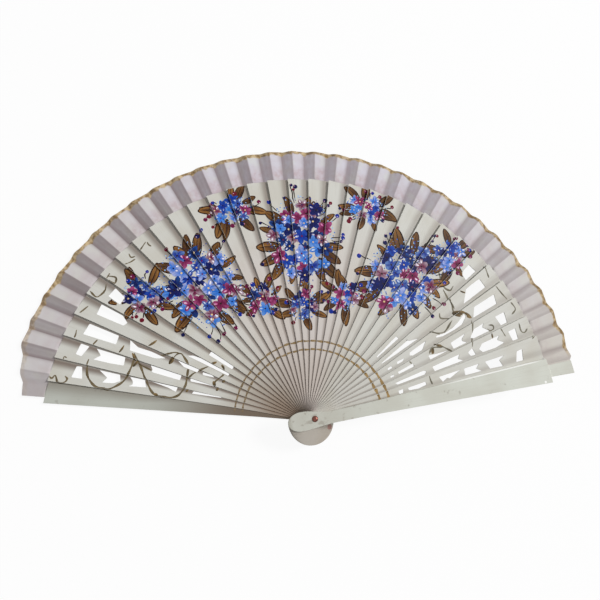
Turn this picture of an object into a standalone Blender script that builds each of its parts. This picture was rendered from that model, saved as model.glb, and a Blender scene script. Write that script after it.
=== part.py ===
"""Folding hand fan, lying open on its back with its painted front up.

Thirty-one thin wooden ribs and two thicker guards turn on one rivet, and a pleated
cloth leaf joins their narrow tongues.  The rivet's axis is +Z through the origin and
z = 0 is the flat foot of the rivet.  A stick is drawn with +X along it and +Y to its
left; then it is turned about the rivet and lifted to its level in the stack.
"""
import math

import bmesh
import bpy
import numpy as np
from mathutils import Vector
from mathutils.geometry import delaunay_2d_cdt

MM = 0.001

# The fan as a whole: number of ribs, angle from one stick to the next, first stick.
RIB_COUNT = 31
PITCH = math.radians(5.089)
BACK_GUARD_ANGLE = math.radians(173.13)

# Lengths along a stick, measured from the rivet.
HEAD_LENGTH = 18.7 * MM
NECK_START = 13.0 * MM
RIB_NECK_END = 48.0 * MM
GUARD_NECK_END = 26.0 * MM
SHOULDER_RADIUS = 184.0 * MM
LEAF_DEPTH = 24.0 * MM

# Half widths of the sticks, to the left and right of the line through the rivet.
HEAD_HALF_WIDTH = 6.4 * MM
RIB_NECK_LEFT = 2.8 * MM
RIB_NECK_RIGHT = 4.2 * MM
RIB_SHOULDER_LEFT = 9.2 * MM
RIB_SHOULDER_RIGHT = 10.6 * MM
GUARD_NECK_LEFT = 2.8 * MM
GUARD_NECK_RIGHT = 5.2 * MM
GUARD_SHOULDER_LEFT = 7.9 * MM
GUARD_SHOULDER_RIGHT = 11.2 * MM
FRONT_GUARD_SHOULDER_LEFT = 7.0 * MM

# Thicknesses and the play between neighbours in the closed stack.
RIB_THICKNESS = 0.60 * MM
STACK_GAP = 0.15 * MM
GUARD_THICKNESS = 1.9 * MM
TONGUE_THICKNESS = 0.35 * MM
GUARD_TONGUE_THICKNESS = 0.50 * MM
LEAF_THICKNESS = 0.15 * MM
LEAF_GAP = 0.08 * MM

# Sideways slope of a stick: none at the head, growing to the shoulder, steep on the tongue.
SHOULDER_SLOPE = 0.09
TONGUE_SLOPE = 0.30

# Tongues and cloth panels: half widths in pitches, set-backs and the trim at both ends.
PANEL_HALF_PITCHES = 0.240
TONGUE_HALF_PITCHES = 0.222
FRONT_TONGUE_LEFT_PITCHES = 0.11
FRONT_TONGUE_RIGHT_PITCHES = 0.43
TONGUE_SETBACK = 1.5 * MM
KINK_LENGTH = 1.0 * MM
LEAF_START_GAP = 0.3 * MM
BACK_END_TRIM = 9.5 * MM
BACK_TRIM_PITCHES = 2.0
FRONT_END_TRIM = 2.0 * MM
FRONT_TRIM_PITCHES = 3.0

# The rivet: shank, play in the bores, domed head in front and flat foot behind.
RIVET_RADIUS = 1.5 * MM
BORE_PLAY = 0.06 * MM
RIVET_HEAD_RADIUS = 2.1 * MM
RIVET_DOME = 0.95 * MM
FOOT_RADIUS = 2.5 * MM
FOOT_THICKNESS = 0.6 * MM
RIVET_PLAY = 0.1 * MM

# How finely curves are drawn.
HEAD_STEPS = 8
BODY_STEPS = 7
BORE_SIDES = 16
RIVET_SIDES = 36
DOME_STEPS = 6

# The saw's slant across each corner of a window, and the most of a side that it may take.
CORNER_SLANT = 0.4 * MM
LARGEST_SHARE = 0.3

# Pierced windows, by rib.  A corner is (pitches to the right of the rib's visible left edge,
# share of the shoulder radius).
WINDOWS = {
    1: (
        ((0.30, 0.924), (0.84, 0.917), (0.87, 0.897), (0.32, 0.883)),
        ((0.30, 0.810), (0.59, 0.796), (0.89, 0.832), (0.89, 0.753), (0.55, 0.745), (0.36, 0.769)),
        ((0.35, 0.712), (0.48, 0.698), (0.69, 0.701), (0.90, 0.715), (0.92, 0.658), (0.46, 0.646)),
        ((0.92, 0.632), (0.92, 0.530), (0.54, 0.533), (0.74, 0.565)),
        ((0.66, 0.472), (0.90, 0.467), (0.94, 0.362), (0.87, 0.355), (0.78, 0.395)),
    ),
    2: (
        ((0.36, 0.934), (0.88, 0.931), (0.87, 0.897), (0.33, 0.910)),
        ((0.33, 0.866), (0.62, 0.845), (0.88, 0.869), (0.91, 0.756), (0.44, 0.750), (0.36, 0.804)),
        ((0.53, 0.644), (0.69, 0.642), (0.93, 0.655), (0.93, 0.530), (0.52, 0.530)),
        ((0.68, 0.490), (0.93, 0.494), (0.93, 0.392), (0.84, 0.424)),
    ),
    3: (
        ((0.31, 0.937), (0.86, 0.934), (0.88, 0.812), (0.40, 0.807)),
        ((0.36, 0.750), (0.91, 0.766), (0.70, 0.726), (0.77, 0.674), (0.72, 0.612), (0.46, 0.648)),
        ((0.63, 0.534), (0.92, 0.566), (0.93, 0.476), (0.63, 0.478)),
        ((0.60, 0.454), (0.84, 0.459), (0.93, 0.421), (0.80, 0.408)),
    ),
    4: (
        ((0.38, 0.927), (0.90, 0.932), (0.91, 0.838), (0.68, 0.807), (0.46, 0.815)),
        ((0.57, 0.541), (0.80, 0.522), (0.91, 0.490), (0.91, 0.362), (0.63, 0.362)),
    ),
    5: (
        ((0.39, 0.927), (0.88, 0.924), (0.75, 0.872), (0.32, 0.870)),
        ((0.53, 0.470), (0.91, 0.470), (0.91, 0.362), (0.53, 0.362)),
    ),
    26: (
        ((0.35, 0.932), (0.84, 0.937), (0.85, 0.872), (0.50, 0.877), (0.38, 0.890)),
        ((0.34, 0.467), (0.64, 0.470), (0.57, 0.348), (0.33, 0.353)),
    ),
    27: (
        ((0.25, 0.922), (0.78, 0.922), (0.79, 0.791), (0.18, 0.844)),
        ((0.22, 0.492), (0.46, 0.496), (0.78, 0.533), (0.68, 0.424), (0.52, 0.346), (0.28, 0.343)),
    ),
    28: (
        ((0.32, 0.930), (0.80, 0.918), (0.77, 0.789), (0.28, 0.818)),
        ((0.25, 0.764), (0.48, 0.762), (0.74, 0.730), (0.78, 0.690), (0.72, 0.628), (0.54, 0.598),
         (0.43, 0.603), (0.61, 0.642), (0.60, 0.686), (0.47, 0.722)),
        ((0.28, 0.554), (0.76, 0.519), (0.73, 0.471), (0.54, 0.460), (0.31, 0.468)),
        ((0.50, 0.435), (0.66, 0.424), (0.64, 0.397), (0.37, 0.399)),
        ((0.36, 0.370), (0.66, 0.372), (0.66, 0.351), (0.36, 0.351)),
    ),
    29: (
        ((0.34, 0.922), (0.88, 0.914), (0.88, 0.881), (0.33, 0.874)),
        ((0.33, 0.814), (0.50, 0.799), (0.86, 0.822), (0.85, 0.742), (0.72, 0.728), (0.36, 0.761)),
        ((0.32, 0.717), (0.53, 0.692), (0.68, 0.690), (0.88, 0.707), (0.87, 0.639), (0.40, 0.639)),
        ((0.79, 0.616), (0.81, 0.527), (0.42, 0.527), (0.62, 0.563)),
        ((0.37, 0.454), (0.68, 0.451), (0.65, 0.380), (0.38, 0.380)),
        ((0.37, 0.359), (0.62, 0.361), (0.60, 0.343), (0.37, 0.343)),
    ),
    30: (
        ((0.31, 0.930), (0.86, 0.924), (0.85, 0.897), (0.32, 0.893)),
        ((0.31, 0.848), (0.49, 0.832), (0.77, 0.858), (0.86, 0.815), (0.83, 0.750), (0.58, 0.739),
         (0.33, 0.761)),
        ((0.33, 0.712), (0.81, 0.717), (0.77, 0.693), (0.49, 0.687)),
        ((0.37, 0.649), (0.64, 0.636), (0.86, 0.655), (0.83, 0.522), (0.41, 0.519)),
        ((0.41, 0.478), (0.57, 0.489), (0.78, 0.478), (0.70, 0.356), (0.40, 0.348)),
    ),
    31: (
        ((0.38, 0.918), (0.94, 0.908), (0.93, 0.874), (0.42, 0.890)),
        ((0.40, 0.830), (0.58, 0.803), (0.94, 0.812), (0.89, 0.752), (0.40, 0.739)),
        ((0.40, 0.711), (0.65, 0.693), (0.88, 0.714), (0.86, 0.638), (0.40, 0.641)),
        ((0.39, 0.627), (0.77, 0.570), (0.65, 0.562), (0.88, 0.538), (0.39, 0.527)),
        ((0.40, 0.467), (0.70, 0.468), (0.84, 0.432), (0.74, 0.391), (0.44, 0.389)),
        ((0.40, 0.370), (0.83, 0.366), (0.83, 0.348), (0.40, 0.348)),
    ),
}

# Sizes that follow from the ones above.
GUARD_BOTTOM = FOOT_THICKNESS + RIVET_PLAY
LEVEL_STEP = RIB_THICKNESS + STACK_GAP
FIRST_RIB_LEVEL = GUARD_BOTTOM + GUARD_THICKNESS + STACK_GAP
FRONT_GUARD_LEVEL = FIRST_RIB_LEVEL + RIB_COUNT * LEVEL_STEP
RIVET_TOP = FRONT_GUARD_LEVEL + GUARD_THICKNESS + RIVET_PLAY
GUARD_TONGUE_BOTTOM = GUARD_THICKNESS - 2.0 * GUARD_TONGUE_THICKNESS
GUARD_TONGUE_TOP = GUARD_THICKNESS - GUARD_TONGUE_THICKNESS
KINK_END = SHOULDER_RADIUS + KINK_LENGTH
LEAF_INNER_RADIUS = KINK_END + LEAF_START_GAP
LEAF_RADIUS = SHOULDER_RADIUS + LEAF_DEPTH
LEFT_EDGE_PITCHES = math.asin(RIB_SHOULDER_LEFT / SHOULDER_RADIUS) / PITCH
BORE_RADIUS = (RIVET_RADIUS + BORE_PLAY) / math.cos(math.pi / BORE_SIDES)


def clear_scene():
    """Remove every object that the new file starts with."""
    for thing in list(bpy.data.objects):
        bpy.data.objects.remove(thing, do_unlink=True)


def make_material(name, colour, roughness, metallic):
    """A plain Principled material for one kind of sub-part."""
    material = bpy.data.materials.new(name)
    material.use_nodes = True
    shader = material.node_tree.nodes["Principled BSDF"]
    shader.inputs["Base Color"].default_value = (*colour, 1.0)
    shader.inputs["Roughness"].default_value = roughness
    shader.inputs["Metallic"].default_value = metallic
    material.diffuse_color = (*colour, 1.0)
    return material


def make_object(name, points, faces, material):
    """One closed mesh object at the origin, with its faces turned outwards."""
    mesh = bpy.data.meshes.new(name)
    mesh.from_pydata([tuple(point) for point in points], [], faces)
    work = bmesh.new()
    work.from_mesh(mesh)
    bmesh.ops.recalc_face_normals(work, faces=work.faces)
    work.to_mesh(mesh)
    work.free()
    mesh.materials.append(material)
    thing = bpy.data.objects.new(name, mesh)
    bpy.context.scene.collection.objects.link(thing)
    return thing


def inside(points, polygon):
    """For each point, whether the polygon goes round it (even-odd rule)."""
    found = np.zeros(len(points), dtype=bool)
    for first, second in zip(polygon, np.roll(polygon, -1, axis=0)):
        crosses = (first[1] > points[:, 1]) != (second[1] > points[:, 1])
        rise = second[1] - first[1]
        if rise == 0.0:
            continue
        meet = first[0] + (points[:, 1] - first[1]) / rise * (second[0] - first[0])
        found ^= crosses & (points[:, 0] < meet)
    return found


def stick_outline(neck_end, neck, shoulder, tongue):
    """Corners round a stick, anticlockwise from above, starting at the tip of the head.

    The head is half an ellipse that eases into the neck; past the neck the stick widens
    evenly to its shoulder, and the tongue stands on the shoulder.  neck and shoulder are
    pairs of half widths, left and right.
    """
    waist = -HEAD_LENGTH / 2.0
    rows = []
    for step in range(1, HEAD_STEPS + 1):
        turn = math.pi / 2.0 * (1.0 - step / HEAD_STEPS)
        half = HEAD_HALF_WIDTH * math.cos(turn)
        rows.append((waist - (HEAD_LENGTH + waist) * math.sin(turn), half, half))
    for step in range(1, HEAD_STEPS):
        share = step / HEAD_STEPS
        ease = 0.5 + 0.5 * math.cos(math.pi * share)
        halves = [side + (HEAD_HALF_WIDTH - side) * ease for side in neck]
        rows.append((waist + (NECK_START - waist) * share, *halves))
    for station in body_stations():
        spread = max(0.0, (station - neck_end) / (SHOULDER_RADIUS - neck_end))
        halves = [low + (high - low) * spread for low, high in zip(neck, shoulder)]
        rows.append((station, *halves))
    rows.extend(tongue)
    right = [(along, -half) for along, _, half in rows]
    left = [(along, half) for along, half, _ in reversed(rows)]
    return np.array([(-HEAD_LENGTH, 0.0)] + right + left)


def body_stations():
    """Distances along a stick of its cross lines, from the neck to the shoulder."""
    return np.linspace(NECK_START, SHOULDER_RADIUS, BODY_STEPS + 1)


def window_corners(corners):
    """The corners of one pierced window on its rib, in the stick's own plane."""
    result = []
    for across, along in corners:
        turn = (across - LEFT_EDGE_PITCHES) * PITCH
        reach = along * SHOULDER_RADIUS
        result.append((reach * math.cos(turn), -reach * math.sin(turn)))
    return slanted(np.array(result))


def slanted(loop):
    """A closed loop with each corner cut off by a short slant."""
    ahead = np.roll(loop, -1, axis=0)
    side = ahead - loop
    lengths = np.linalg.norm(side, axis=1, keepdims=True)
    cut = side * np.minimum(CORNER_SLANT / lengths, LARGEST_SHARE)
    return np.stack([loop + cut, ahead - cut], axis=1).reshape(-1, 2)


def bore_corners():
    """The corners of the rivet bore."""
    turns = np.arange(BORE_SIDES) * (2.0 * math.pi / BORE_SIDES)
    return np.stack([BORE_RADIUS * np.cos(turns), BORE_RADIUS * np.sin(turns)], axis=1)


def stick(name, outline, windows, bottom, top, material):
    """A flat stick with a bore and windows, cut up along its cross lines.

    bottom and top are lists of (distance along, height, sideways slope), read between
    their entries, so that each face is a slightly twisted sheet.
    """
    loops = [outline] + windows + [bore_corners()]
    points = []
    edges = []
    for loop in loops:
        start = len(points)
        points.extend(Vector((float(x), float(y))) for x, y in loop)
        edges.extend((start + i, start + (i + 1) % len(loop)) for i in range(len(loop)))
    neck_row = 2 * HEAD_STEPS
    shoulder_row = neck_row + BODY_STEPS
    cross_rows = list(range(neck_row, shoulder_row)) + [shoulder_row + 1, shoulder_row + 2]
    edges.extend((row, len(outline) - row) for row in cross_rows)

    flat, _, triangles, _, _, _ = delaunay_2d_cdt(points, edges, [], 0, 1e-9)
    flat = np.array([(point.x, point.y) for point in flat])
    triangles = np.array(triangles)
    middles = flat[triangles].mean(axis=1)
    kept = inside(middles, outline)
    for loop in loops[1:]:
        kept &= ~inside(middles, loop)
    triangles = triangles[kept]
    used, triangles = np.unique(triangles, return_inverse=True)
    flat = flat[used]
    triangles = triangles.reshape(-1, 3)

    def lifted(face):
        stations, heights, slopes = np.array(face).T
        height = np.interp(flat[:, 0], stations, heights)
        slope = np.interp(flat[:, 0], stations, slopes)
        return np.column_stack([flat, height + slope * flat[:, 1]])

    size = len(flat)
    sides = np.concatenate([triangles[:, [0, 1]], triangles[:, [1, 2]], triangles[:, [2, 0]]])
    known = {(int(a), int(b)) for a, b in sides}
    rim = [(int(a), int(b)) for a, b in sides if (int(b), int(a)) not in known]
    faces = [tuple(int(i) + size for i in triangle) for triangle in triangles]
    faces.extend(tuple(int(i) for i in triangle[::-1]) for triangle in triangles)
    faces.extend((a, b, b + size, a + size) for a, b in rim)
    return make_object(name, np.concatenate([lifted(bottom), lifted(top)]), faces, material)


def place(thing, number, level):
    """Turn a stick about the rivet to its place in the fan and lift it to its level."""
    thing.location = (0.0, 0.0, level)
    thing.rotation_euler = (0.0, 0.0, BACK_GUARD_ANGLE - number * PITCH)


def leaf_radius(place_in_pitches):
    """Radius of the cloth's outer edge, which is trimmed towards both ends.

    The place is counted in pitches from the back guard's axis.
    """
    from_back = place_in_pitches + PANEL_HALF_PITCHES
    from_front = RIB_COUNT + 1 + PANEL_HALF_PITCHES - place_in_pitches
    back = max(1.0 - from_back / BACK_TRIM_PITCHES, 0.0)
    front = max(1.0 - from_front / FRONT_TRIM_PITCHES, 0.0)
    return LEAF_RADIUS - BACK_END_TRIM * back - FRONT_END_TRIM * front


def twisted_face(height, tongue_height, tongue_slope, end):
    """Stations of a face that twists from its level head to the end of its tongue."""
    return [
        (-HEAD_LENGTH, height, 0.0),
        (NECK_START, height, 0.0),
        (SHOULDER_RADIUS, height, SHOULDER_SLOPE),
        (KINK_END, tongue_height, tongue_slope),
        (end, tongue_height, tongue_slope),
    ]


def level_face(height, tongue_height, tongue_slope, end):
    """Stations of a guard's outer face, which is level, and of its tongue."""
    return [
        (-HEAD_LENGTH, height, 0.0),
        (SHOULDER_RADIUS, height, 0.0),
        (KINK_END, tongue_height, tongue_slope),
        (end, tongue_height, tongue_slope),
    ]


def tongue_rows(end, left_pitches, right_pitches):
    """Cross rows of a tongue with radial sides: its root, the end of its kink and its tip."""
    rows = []
    for along in (SHOULDER_RADIUS, KINK_END, end):
        rows.append((along, left_pitches * PITCH * along, right_pitches * PITCH * along))
    return rows


def tongue_end(number):
    """Radius at which a stick's tongue stops, inside the cloth's edge."""
    shorter = min(leaf_radius(number - PANEL_HALF_PITCHES), leaf_radius(number + PANEL_HALF_PITCHES))
    return shorter - TONGUE_SETBACK


def cloth_on_stick(number):
    """Height of the cloth's underside on a stick's axis, and its sideways slope there."""
    if number == 0:
        return GUARD_BOTTOM + GUARD_TONGUE_TOP + LEAF_GAP, TONGUE_SLOPE
    level = FIRST_RIB_LEVEL + (number - 1) * LEVEL_STEP
    if number <= RIB_COUNT:
        return level + TONGUE_THICKNESS + LEAF_GAP, TONGUE_SLOPE
    return level + GUARD_TONGUE_BOTTOM - LEAF_GAP - LEAF_THICKNESS, 0.0


def make_leaf(material):
    """The pleated cloth: a flat panel on each tongue and a flat one between panels."""
    low = []
    for number in range(RIB_COUNT + 2):
        height, slope = cloth_on_stick(number)
        for share in (-PANEL_HALF_PITCHES, PANEL_HALF_PITCHES):
            turn = BACK_GUARD_ANGLE - (number + share) * PITCH
            for reach in (LEAF_INNER_RADIUS, leaf_radius(number + share)):
                lift = height - slope * reach * math.sin(share * PITCH)
                low.append((reach * math.cos(turn), reach * math.sin(turn), lift))
    low = np.array(low)
    high = low + np.array([0.0, 0.0, LEAF_THICKNESS])
    size = len(low)
    faces = []
    for i in range(0, size - 2, 2):
        faces.append((i, i + 1, i + 3))
        faces.append((i, i + 3, i + 2))
        faces.append((i + size, i + size + 3, i + size + 1))
        faces.append((i + size, i + size + 2, i + size + 3))
        faces.append((i, i + 2, i + size + 2, i + size))
        faces.append((i + 1, i + 1 + size, i + 3 + size, i + 3))
    faces.append((0, size, 1 + size, 1))
    faces.append((size - 2, size - 1, 2 * size - 1, 2 * size - 2))
    return make_object("leaf", np.concatenate([low, high]), faces, material)


def make_rivet(material):
    """The rivet, turned from a profile: flat foot, shank and domed head."""
    profile = [(FOOT_RADIUS, 0.0), (FOOT_RADIUS, FOOT_THICKNESS), (RIVET_RADIUS, FOOT_THICKNESS)]
    profile.append((RIVET_RADIUS, RIVET_TOP))
    for step in range(DOME_STEPS):
        turn = math.pi / 2.0 * step / DOME_STEPS
        profile.append((RIVET_HEAD_RADIUS * math.cos(turn), RIVET_TOP + RIVET_DOME * math.sin(turn)))
    points = []
    for radius, height in profile:
        for side in range(RIVET_SIDES):
            turn = 2.0 * math.pi * side / RIVET_SIDES
            points.append((radius * math.cos(turn), radius * math.sin(turn), height))
    faces = [tuple(range(RIVET_SIDES))[::-1]]
    for ring in range(len(profile) - 1):
        for side in range(RIVET_SIDES):
            a = ring * RIVET_SIDES + side
            b = ring * RIVET_SIDES + (side + 1) % RIVET_SIDES
            faces.append((a, b, b + RIVET_SIDES, a + RIVET_SIDES))
    last = (len(profile) - 1) * RIVET_SIDES
    points.append((0.0, 0.0, RIVET_TOP + RIVET_DOME))
    for side in range(RIVET_SIDES):
        faces.append((last + side, last + (side + 1) % RIVET_SIDES, len(points) - 1))
    return make_object("rivet", points, faces, material)


clear_scene()
white_wood = make_material("white_wood", (0.62, 0.61, 0.56), 0.45, 0.0)
cloth = make_material("cloth", (0.60, 0.57, 0.61), 0.9, 0.0)
copper = make_material("copper", (0.55, 0.30, 0.22), 0.3, 1.0)

# Back guard: level behind, twisted in front to bed the first rib.
guard_neck = (GUARD_NECK_LEFT, GUARD_NECK_RIGHT)
guard_shoulder = (GUARD_SHOULDER_LEFT, GUARD_SHOULDER_RIGHT)
end = tongue_end(0)
tongue = tongue_rows(end, TONGUE_HALF_PITCHES, TONGUE_HALF_PITCHES)
outline = stick_outline(GUARD_NECK_END, guard_neck, guard_shoulder, tongue)
bottom = level_face(0.0, GUARD_TONGUE_BOTTOM, TONGUE_SLOPE, end)
top = twisted_face(GUARD_THICKNESS, GUARD_TONGUE_TOP, TONGUE_SLOPE, end)
place(stick("back_guard", outline, [], bottom, top, white_wood), 0, GUARD_BOTTOM)

# Ribs, each one level above its left neighbour.
rib_neck = (RIB_NECK_LEFT, RIB_NECK_RIGHT)
rib_shoulder = (RIB_SHOULDER_LEFT, RIB_SHOULDER_RIGHT)
for number in range(1, RIB_COUNT + 1):
    end = tongue_end(number)
    tongue = tongue_rows(end, TONGUE_HALF_PITCHES, TONGUE_HALF_PITCHES)
    outline = stick_outline(RIB_NECK_END, rib_neck, rib_shoulder, tongue)
    windows = [window_corners(corners) for corners in WINDOWS.get(number, ())]
    bottom = twisted_face(0.0, 0.0, TONGUE_SLOPE, end)
    top = twisted_face(RIB_THICKNESS, TONGUE_THICKNESS, TONGUE_SLOPE, end)
    rib = stick(f"rib_{number:02d}", outline, windows, bottom, top, white_wood)
    place(rib, number, FIRST_RIB_LEVEL + (number - 1) * LEVEL_STEP)

# Front guard: level in front, twisted behind, with its tongue on top of the cloth.
end = tongue_end(RIB_COUNT + 1)
tongue = tongue_rows(end, FRONT_TONGUE_LEFT_PITCHES, FRONT_TONGUE_RIGHT_PITCHES)
guard_shoulder = (FRONT_GUARD_SHOULDER_LEFT, GUARD_SHOULDER_RIGHT)
outline = stick_outline(GUARD_NECK_END, guard_neck, guard_shoulder, tongue)
bottom = twisted_face(0.0, GUARD_TONGUE_BOTTOM, 0.0, end)
top = level_face(GUARD_THICKNESS, GUARD_TONGUE_TOP, 0.0, end)
place(stick("front_guard", outline, [], bottom, top, white_wood), RIB_COUNT + 1, FRONT_GUARD_LEVEL)

make_leaf(cloth)
make_rivet(copper)
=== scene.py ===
"""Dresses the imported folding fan: painted wooden sticks, pleated cloth leaf, rivet and brushwork."""

import math

import bmesh
import bpy
import numpy as np
from mathutils import Matrix


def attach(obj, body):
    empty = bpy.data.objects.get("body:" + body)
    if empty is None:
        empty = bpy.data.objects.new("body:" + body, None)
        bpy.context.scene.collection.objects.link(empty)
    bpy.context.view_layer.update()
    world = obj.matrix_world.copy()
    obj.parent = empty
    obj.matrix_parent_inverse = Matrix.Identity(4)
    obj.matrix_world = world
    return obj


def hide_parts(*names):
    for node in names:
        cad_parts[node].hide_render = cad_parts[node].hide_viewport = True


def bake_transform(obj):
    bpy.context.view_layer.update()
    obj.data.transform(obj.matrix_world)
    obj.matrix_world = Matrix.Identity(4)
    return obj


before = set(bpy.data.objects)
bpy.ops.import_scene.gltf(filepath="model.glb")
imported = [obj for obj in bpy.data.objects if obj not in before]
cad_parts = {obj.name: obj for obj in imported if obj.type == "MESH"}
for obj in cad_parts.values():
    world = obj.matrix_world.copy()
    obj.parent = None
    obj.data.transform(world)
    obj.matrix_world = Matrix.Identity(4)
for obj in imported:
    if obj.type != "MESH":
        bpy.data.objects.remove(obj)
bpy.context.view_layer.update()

# Ribs: thirty-one thin sawn blades of pale wood under a thin coat of off-white paint.
# They are threaded on the rivet, each over its left neighbour; paint has yellowed, and shade is
# painted round the rivet and along the lines where one rib covers the next.
RIB_COUNT = 31
PITCH = math.radians(5.089)
LEFT_TURN = math.radians(176.0)
FIRST_AXIS = math.radians(173.13)
STICKS = ["back_guard"] + [f"rib_{number:02d}" for number in range(1, RIB_COUNT + 1)] + ["front_guard"]


def srgb(red, green, blue):
    """A colour as seen on a screen, 0 to 255, turned into the linear values a shader takes."""
    value = np.array([red, green, blue], float) / 255.0
    linear = np.where(value <= 0.04045, value / 12.92, ((value + 0.055) / 1.055) ** 2.4)
    return (*linear.tolist(), 1.0)


def add_node(tree, kind, values=None, **settings):
    """A new node in a tree, with its settings and, by name or number, its inputs."""
    node = tree.nodes.new(kind)
    for key, value in settings.items():
        setattr(node, key, value)
    for key, value in (values or {}).items():
        if isinstance(value, bpy.types.NodeSocket):
            tree.links.new(value, node.inputs[key])
        else:
            node.inputs[key].default_value = value
    return node


def maths(tree, operation, *values):
    """One step of arithmetic on sockets or numbers."""
    return add_node(tree, "ShaderNodeMath", dict(enumerate(values)), operation=operation).outputs[0]


def ease(tree, value, low, high, start=0.0, end=1.0):
    """A smooth step from start to end while the value goes from low to high."""
    values = {0: value, 1: low, 2: high, 3: start, 4: end}
    return add_node(tree, "ShaderNodeMapRange", values, interpolation_type="SMOOTHSTEP").outputs[0]


def tint(tree, share, first, second):
    """The first colour turned into the second by a share."""
    values = {0: share, 6: first, 7: second}
    return add_node(tree, "ShaderNodeMix", values, data_type="RGBA").outputs[2]


def speckle(tree, vector, scale, detail=2.0):
    """Soft random values from 0 to 1 at a given number of spots per unit."""
    values = {"Vector": vector, "Scale": scale, "Detail": detail}
    return add_node(tree, "ShaderNodeTexNoise", values).outputs[0]


def make_group(name, inputs, outputs):
    """An empty shader node group with named sockets, and its two end nodes."""
    group = bpy.data.node_groups.new(name, "ShaderNodeTree")
    for label, kind in inputs:
        group.interface.new_socket(label, in_out="INPUT", socket_type=kind)
    for label, kind in outputs:
        group.interface.new_socket(label, in_out="OUTPUT", socket_type=kind)
    return group, group.nodes.new("NodeGroupInput"), group.nodes.new("NodeGroupOutput")


def use_group(tree, group, **values):
    """A group placed in a tree, with its inputs by name."""
    node = add_node(tree, "ShaderNodeGroup", node_tree=group)
    for key, value in values.items():
        if isinstance(value, bpy.types.NodeSocket):
            tree.links.new(value, node.inputs[key])
        else:
            node.inputs[key].default_value = value
    return node


def make_material(name):
    """A new material, its node tree, its Principled shader and the piece's own coordinates."""
    material = bpy.data.materials.new(name)
    material.use_nodes = True
    tree = material.node_tree
    shader = tree.nodes["Principled BSDF"]
    return material, tree, shader, add_node(tree, "ShaderNodeTexCoord")


# Where a point lies on the open fan: radius in mm, turn from the left end in radians, and the
# place across the visible strip of its stick, from 0 at its left edge to 1 at the next one's.
NECK_END, SHOULDER = 48.0, 184.0
NECK_LEFT, SHOULDER_LEFT = 2.8, 9.2
fan_place, ends_in, ends_out = make_group(
    "fan_place",
    [("Place", "NodeSocketVector")],
    [("Radius", "NodeSocketFloat"), ("Turn", "NodeSocketFloat"), ("Strip", "NodeSocketFloat"),
     ("Height", "NodeSocketFloat")],
)
axes = add_node(fan_place, "ShaderNodeSeparateXYZ", {0: ends_in.outputs["Place"]}).outputs
squares = [maths(fan_place, "POWER", axes[axis], 2.0) for axis in (0, 1)]
radius = maths(fan_place, "MULTIPLY", maths(fan_place, "SQRT", maths(fan_place, "ADD", *squares)), 1000.0)
bearing = maths(fan_place, "ARCTAN2", axes[1], axes[0])
widening = {0: radius, 1: NECK_END, 2: SHOULDER, 3: NECK_LEFT, 4: SHOULDER_LEFT}
half_width = add_node(fan_place, "ShaderNodeMapRange", widening).outputs[0]
edge_turn = maths(fan_place, "ARCSINE", maths(fan_place, "DIVIDE", half_width, radius))
from_first = maths(fan_place, "SUBTRACT", maths(fan_place, "ADD", edge_turn, FIRST_AXIS), bearing)
strip = maths(fan_place, "FRACT", maths(fan_place, "DIVIDE", from_first, PITCH))
fan_place.links.new(radius, ends_out.inputs["Radius"])
fan_place.links.new(maths(fan_place, "SUBTRACT", LEFT_TURN, bearing), ends_out.inputs["Turn"])
fan_place.links.new(strip, ends_out.inputs["Strip"])
fan_place.links.new(maths(fan_place, "MULTIPLY", axes[2], 1000.0), ends_out.inputs["Height"])

# Old paint on wood: pale colour with yellowed clouds and fine streaks along the grain, and
# the height of those streaks for a bump.
old_paint, ends_in, ends_out = make_group(
    "old_paint",
    [("Place", "NodeSocketVector"), ("Radius", "NodeSocketFloat"), ("Turn", "NodeSocketFloat"),
     ("Clean", "NodeSocketColor"), ("Yellowed", "NodeSocketColor")],
    [("Color", "NodeSocketColor"), ("Height", "NodeSocketFloat"), ("Roughness", "NodeSocketFloat")],
)
clouds = speckle(old_paint, ends_in.outputs["Place"], 38.0, 3.0)
along = maths(old_paint, "MULTIPLY", ends_in.outputs["Radius"], 0.035)
across = maths(old_paint, "MULTIPLY", ends_in.outputs["Turn"], 330.0)
grain_place = add_node(old_paint, "ShaderNodeCombineXYZ", {0: along, 1: across}).outputs[0]
grain = speckle(old_paint, grain_place, 1.0, 4.0)
yellow = ease(old_paint, clouds, 0.38, 0.68)
paint = tint(old_paint, yellow, ends_in.outputs["Clean"], ends_in.outputs["Yellowed"])
streaks = ease(old_paint, grain, 0.52, 0.78, 0.0, 0.22)
darker = tint(old_paint, streaks, paint, srgb(150, 142, 122))
old_paint.links.new(darker, ends_out.inputs["Color"])
old_paint.links.new(grain, ends_out.inputs["Height"])
old_paint.links.new(ease(old_paint, grain, 0.3, 0.75, 0.55, 0.72), ends_out.inputs["Roughness"])

rib_paint, tree, shader, coords = make_material("rib_paint")
shader.inputs["Specular IOR Level"].default_value = 0.3
spot = use_group(tree, fan_place, Place=coords.outputs["Object"]).outputs
coat = use_group(
    tree, old_paint, Place=coords.outputs["Object"], Radius=spot["Radius"], Turn=spot["Turn"],
    Clean=srgb(211, 210, 203), Yellowed=srgb(204, 201, 191),
).outputs
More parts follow.
